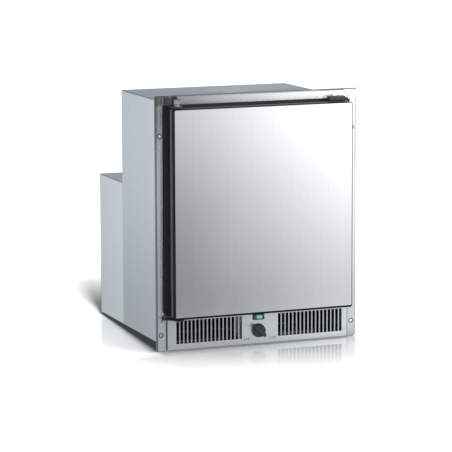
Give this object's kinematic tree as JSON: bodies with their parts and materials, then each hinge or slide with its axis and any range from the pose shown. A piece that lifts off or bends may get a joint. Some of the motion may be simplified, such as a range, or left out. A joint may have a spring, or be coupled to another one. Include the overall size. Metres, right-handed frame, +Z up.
{
  "type": "undercounter refrigerator",
  "caption": "Compact built-in refrigerator with a front flange, thick hinged door, vented grille with knob and rocker, and a stepped rear machine housing.",
  "frame": {"origin": "middle of the width, on the base plane, in the plane of the front flange's rear edge", "axes": "+X to the viewer's right when facing the door, +Y from the front to the back, +Z up"},
  "size_m": [0.414, 0.4714, 0.49],
  "materials": {
    "body_sheet": "satin stainless sheet, cool grey",
    "brushed_front": "brushed stainless, fine grain",
    "black_trim": "black moulded plastic, satin",
    "dark_plastic": "charcoal moulded plastic, fine texture",
    "knob_plastic": "charcoal plastic, satin",
    "green_lens": "translucent green, lit from behind",
    "galvanised": "galvanised sheet, spangled",
    "white_liner": "thermoformed white plastic",
    "foam": "rigid insulating foam, fine cells",
    "coated_wire": "white coated wire",
    "plate_aluminium": "bare rolled aluminium",
    "lamp_lens": "frosted diffuser",
    "cable_sheath": "black cable sheath",
    "fastener": "zinc plated and stainless hardware",
    "nylon": "natural nylon",
    "gasket_rubber": "black soft magnetic seal",
    "clear_bin": "translucent moulded plastic",
    "black_enamel": "black baked enamel",
    "copper": "drawn copper tube"
  },
  "bodies": {
    "cabinet": {"cabinet_wrap": "body_sheet", "front_frame": "black_trim", "mounting_flange": "brushed_front", "upper_back_panel": "body_sheet", "machine_housing": "body_sheet", "machine_back_cover": "galvanised", "back_cover_screws": "fastener", "base_pan": "galvanised", "duct_deck": "galvanised", "air_divider": "galvanised", "insulation_foam": "foam", "inner_liner": "white_liner", "shelf_upper": "coated_wire", "shelf_lower": "coated_wire", "evaporator_plate": "plate_aluminium", "evaporator_standoffs": "white_liner", "drip_trough": "white_liner", "drain_tube": "white_liner", "lamp_base": "white_liner", "lamp_lens": "lamp_lens", "grille_panel": "brushed_front", "grille_clips": "dark_plastic", "control_box": "white_liner", "thermostat_body": "plate_aluminium", "switch_housing": "dark_plastic", "wiring_loom": "cable_sheath", "top_hinge_bracket": "fastener", "bottom_hinge_bracket": "fastener", "top_hinge_cover": "dark_plastic", "hinge_pins": "fastener", "hinge_screws": "fastener", "thrust_washers": "nylon", "latch_keeper": "fastener", "keeper_screws": "fastener", "compressor_shell": "black_enamel", "compressor_base": "black_enamel", "compressor_grommets": "gasket_rubber", "compressor_bolts": "fastener", "compressor_terminal_cover": "dark_plastic", "filter_drier": "copper", "refrigerant_pipes": "copper", "condenser_tubes": "copper", "condenser_fins": "plate_aluminium", "fan_frame": "dark_plastic", "power_inlet": "dark_plastic"},
    "door": {"door_front_panel": "brushed_front", "door_trim_frame": "black_trim", "door_foam": "foam", "door_liner": "white_liner", "door_gasket": "gasket_rubber", "door_shelf_upper": "clear_bin", "door_shelf_lower": "clear_bin", "hinge_bushes": "nylon", "latch_housing": "dark_plastic", "latch_spring": "fastener"},
    "latch_slide_bolt": {"latch_bolt": "fastener"},
    "knob": {"temperature_knob": "knob_plastic", "thermostat_shaft": "fastener"},
    "rocker": {"switch_rocker": "green_lens"},
    "fan": {"fan_rotor": "dark_plastic"}
  },
  "joints": [
    {"name": "door_hinge", "type": "hinge", "parent": "cabinet", "child": "door", "pos_m": [-0.173, -0.033, 0.27], "axis": [0, 0, -1], "range_deg": [0, 115]},
    {"name": "latch_slide", "type": "slide", "parent": "door", "child": "latch_slide_bolt", "axis": [1, 0, 0], "range_m": [0, 0.013]},
    {"name": "knob_turn", "type": "hinge", "parent": "cabinet", "child": "knob", "pos_m": [0, -0.02, 0.027], "axis": [0, -1, 0], "range_deg": [0, 270]},
    {"name": "rocker_tilt", "type": "hinge", "parent": "cabinet", "child": "rocker", "pos_m": [0, -0.0094, 0.0535], "axis": [0, 0, 1], "range_deg": [0, 14]},
    {"name": "fan_spin", "type": "hinge", "parent": "cabinet", "child": "fan", "pos_m": [-0.096, 0.3495, 0.12], "axis": [1, 0, 0], "continuous": true}
  ]
}
